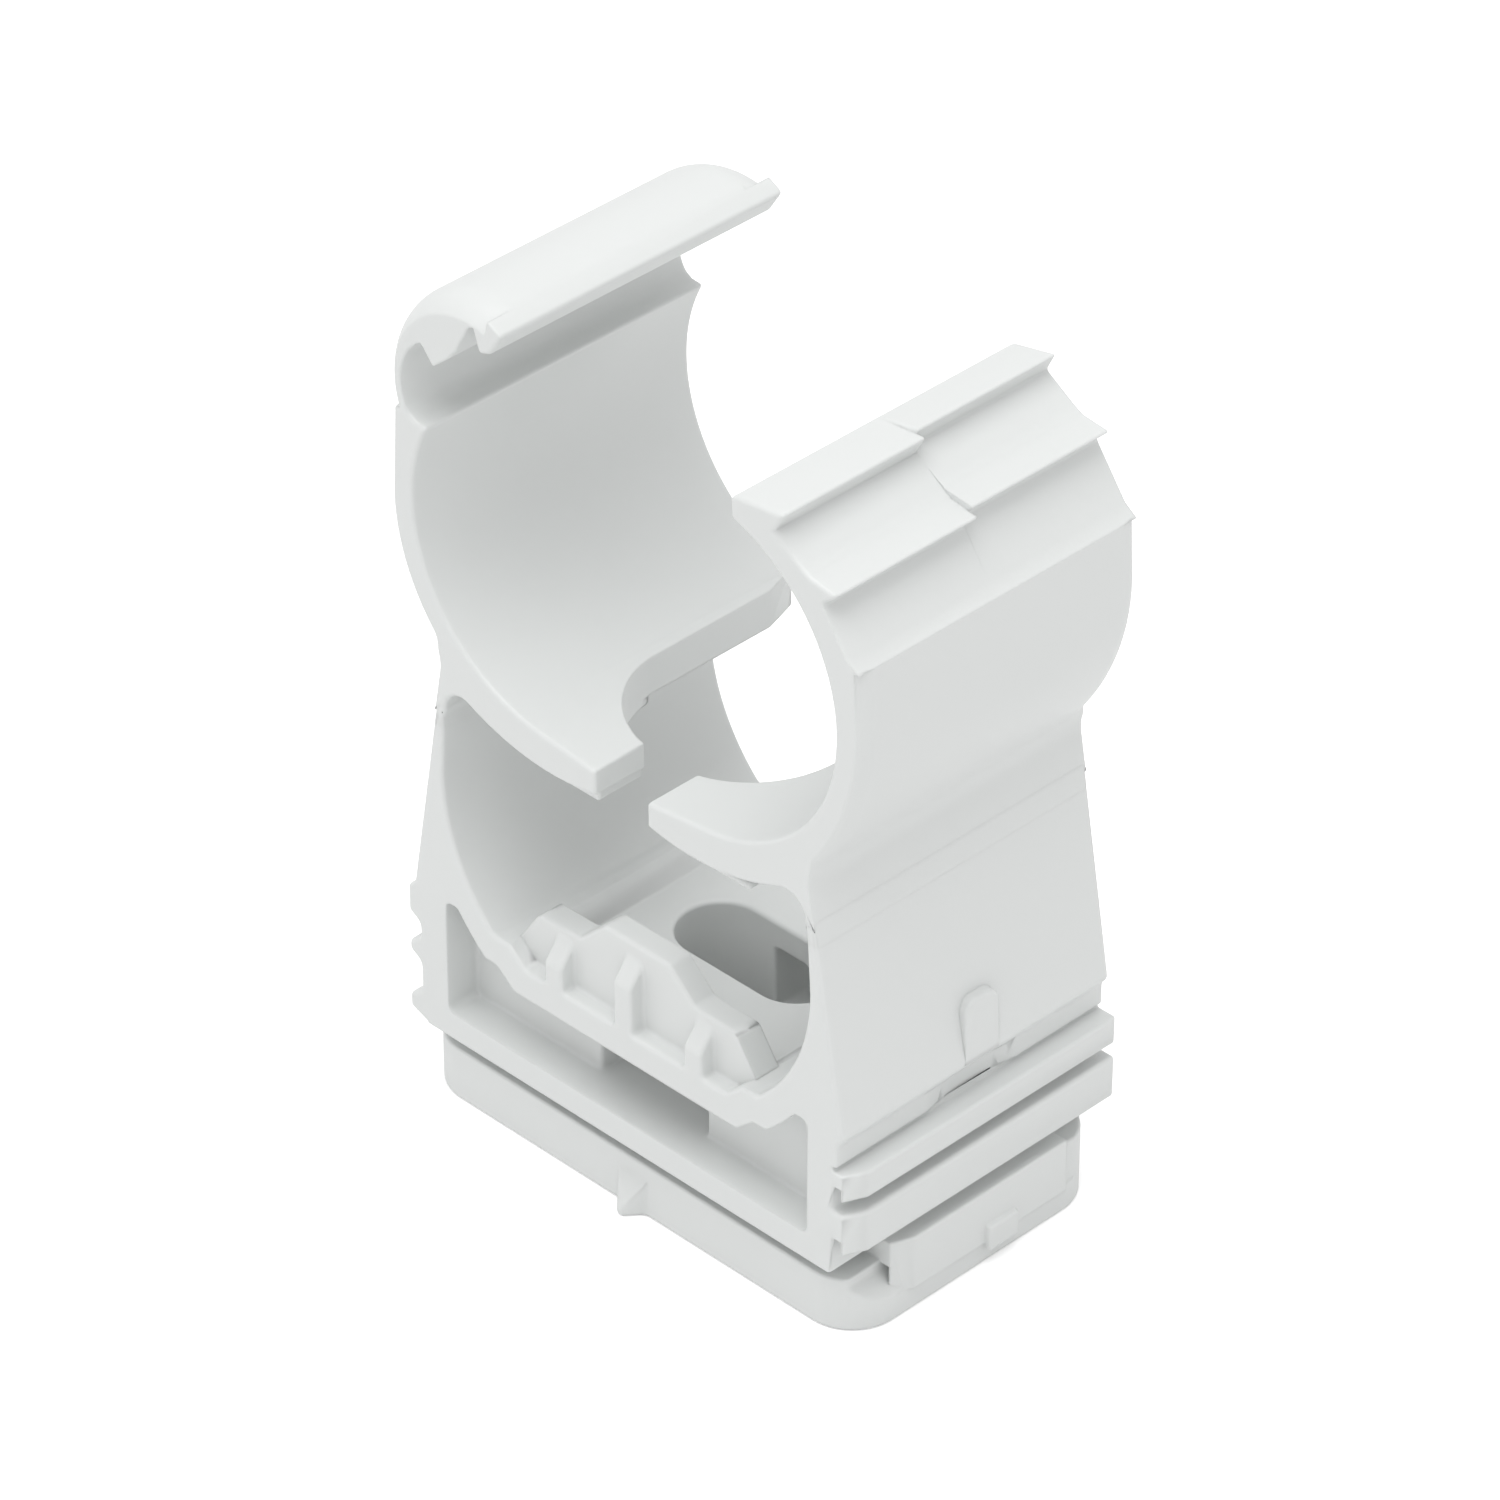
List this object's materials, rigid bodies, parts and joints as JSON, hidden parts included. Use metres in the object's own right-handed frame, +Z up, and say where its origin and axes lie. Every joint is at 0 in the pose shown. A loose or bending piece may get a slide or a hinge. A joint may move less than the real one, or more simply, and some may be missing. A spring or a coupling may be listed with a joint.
{
  "type": "pipe clip",
  "caption": "Snap-shut pipe clip with a slotted screw-down base, jaws on film hinges that close round a pipe and latch with a hook over teeth, and side strips for joining clips in a row.",
  "frame": {"origin": "centre of the screw slot at the foot's bottom face", "axes": "+Z up from the wall through the screw slot, +Y along the pipe towards the rear, +X across the clip towards the toothed jaw and the coupling strips"},
  "size_m": [0.0342, 0.0207, 0.0517],
  "materials": {
    "polyamide": "fine satin, as moulded, light grey"
  },
  "bodies": {
    "base": {"base": "polyamide"},
    "hook_jaw": {"hook_jaw": "polyamide"},
    "toothed_jaw": {"toothed_jaw": "polyamide"}
  },
  "joints": [
    {"name": "hook_hinge", "type": "hinge", "parent": "base", "child": "hook_jaw", "pos_m": [-0.01364, 0, 0.0254], "axis": [0, 1, 0], "range_deg": [-6, 34.5], "stiffness_Nm_per_rad": 0.25},
    {"name": "toothed_hinge", "type": "hinge", "parent": "base", "child": "toothed_jaw", "pos_m": [0.01364, 0, 0.0254], "axis": [0, -1, 0], "range_deg": [-6, 34.5], "stiffness_Nm_per_rad": 0.25}
  ]
}
